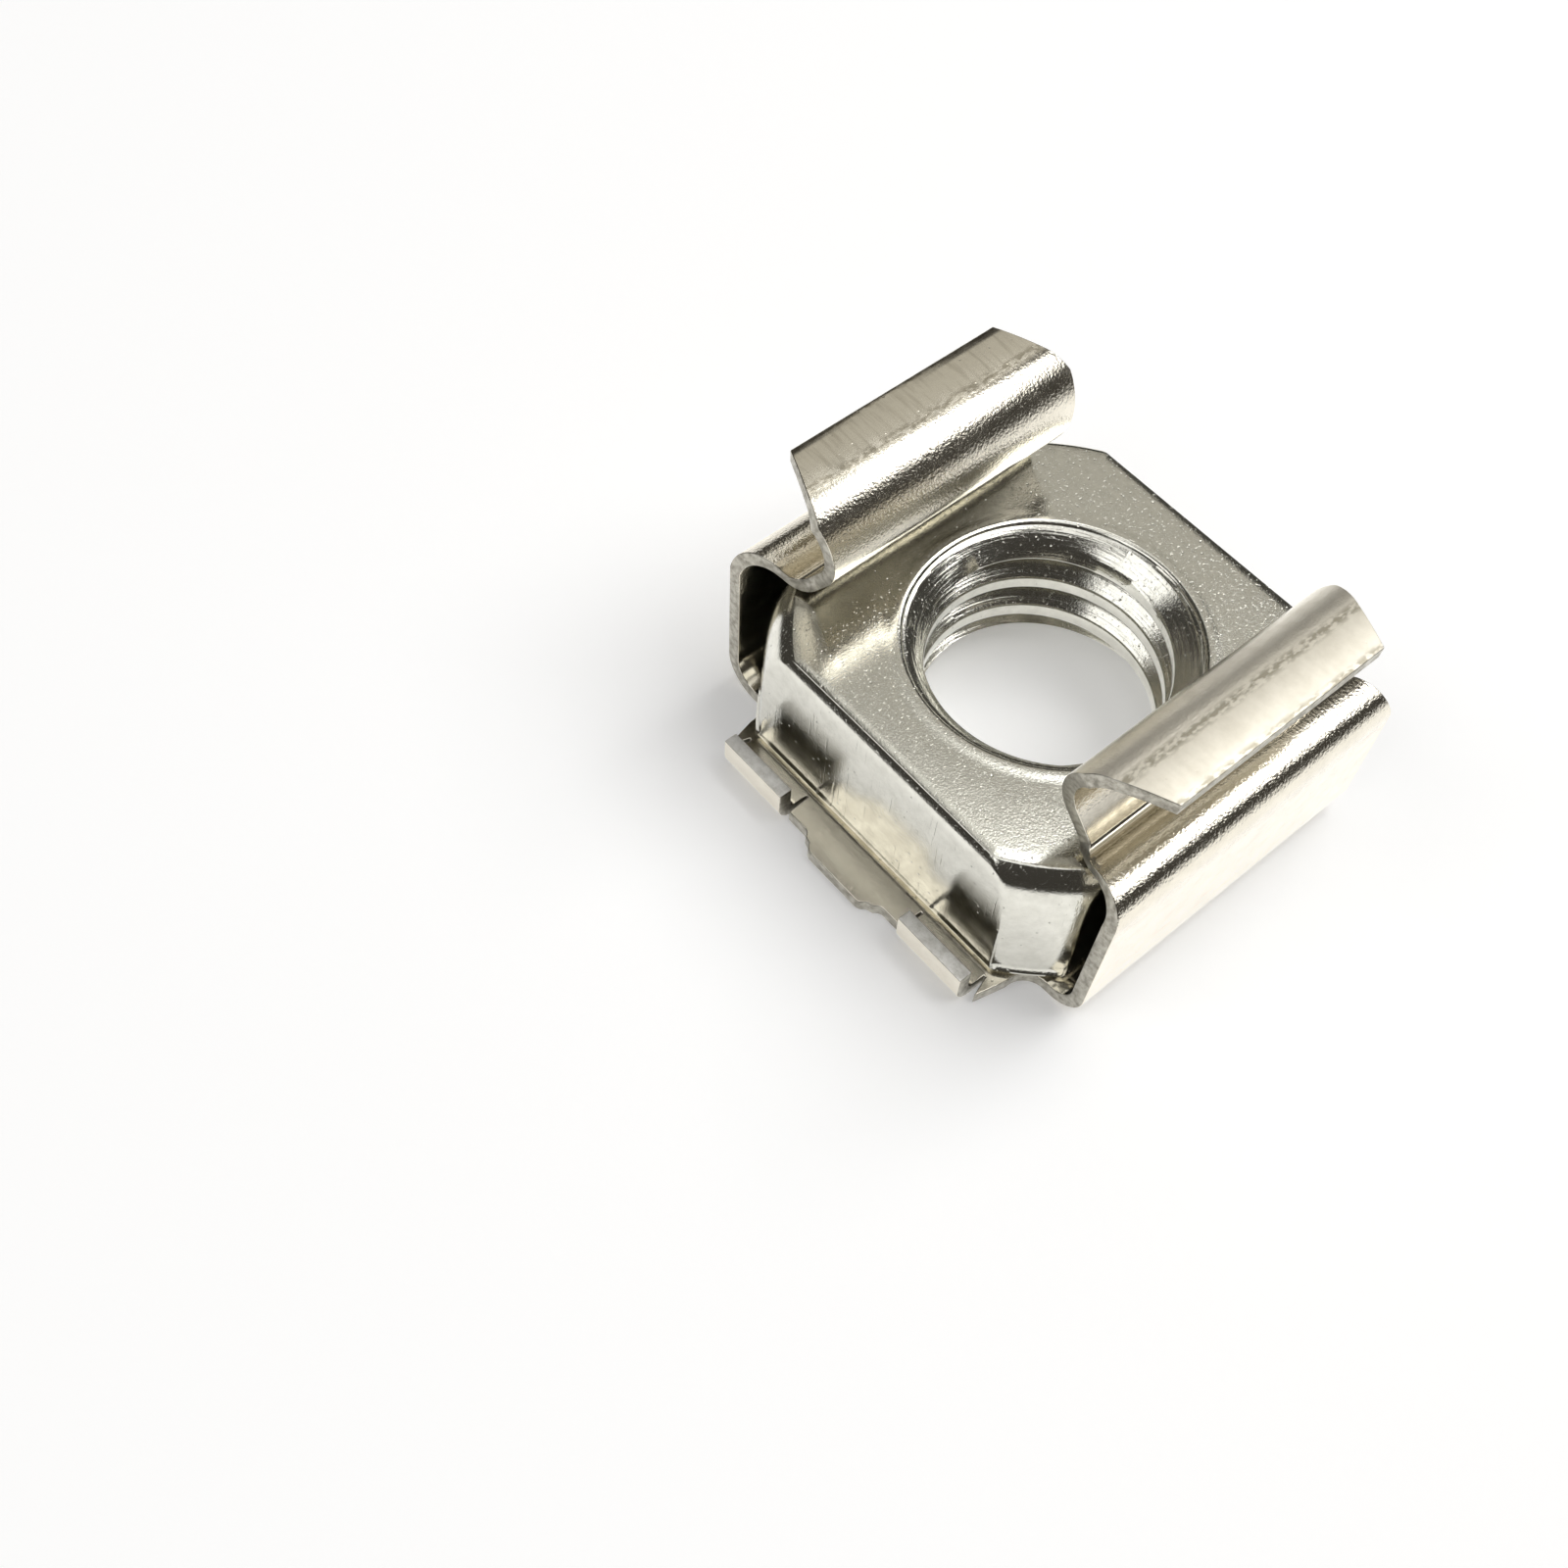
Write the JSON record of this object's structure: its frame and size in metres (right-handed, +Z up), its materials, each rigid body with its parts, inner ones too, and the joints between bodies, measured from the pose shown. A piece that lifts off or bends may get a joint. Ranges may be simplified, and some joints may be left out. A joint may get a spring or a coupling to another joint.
{
  "type": "rack cage nut",
  "caption": "Square threaded nut held loosely in a folded spring-steel cage, whose wings snap into a square hole in a rack rail.",
  "frame": {"origin": "centre of the base plate's underside, on the thread's axis; the part stands on Z = 0", "axes": "+X across the two wings, +Y along their bend lines, +Z up through the thread, from the base plate towards the wings"},
  "size_m": [0.0146, 0.015, 0.0087],
  "materials": {
    "cage_steel": "bright nickel plate on rolled spring steel, satin",
    "nut_steel": "bright nickel plate on forged steel, glossy"
  },
  "bodies": {
    "root": {"spring_cage": "cage_steel", "square_nut": "nut_steel"}
  },
  "joints": []
}
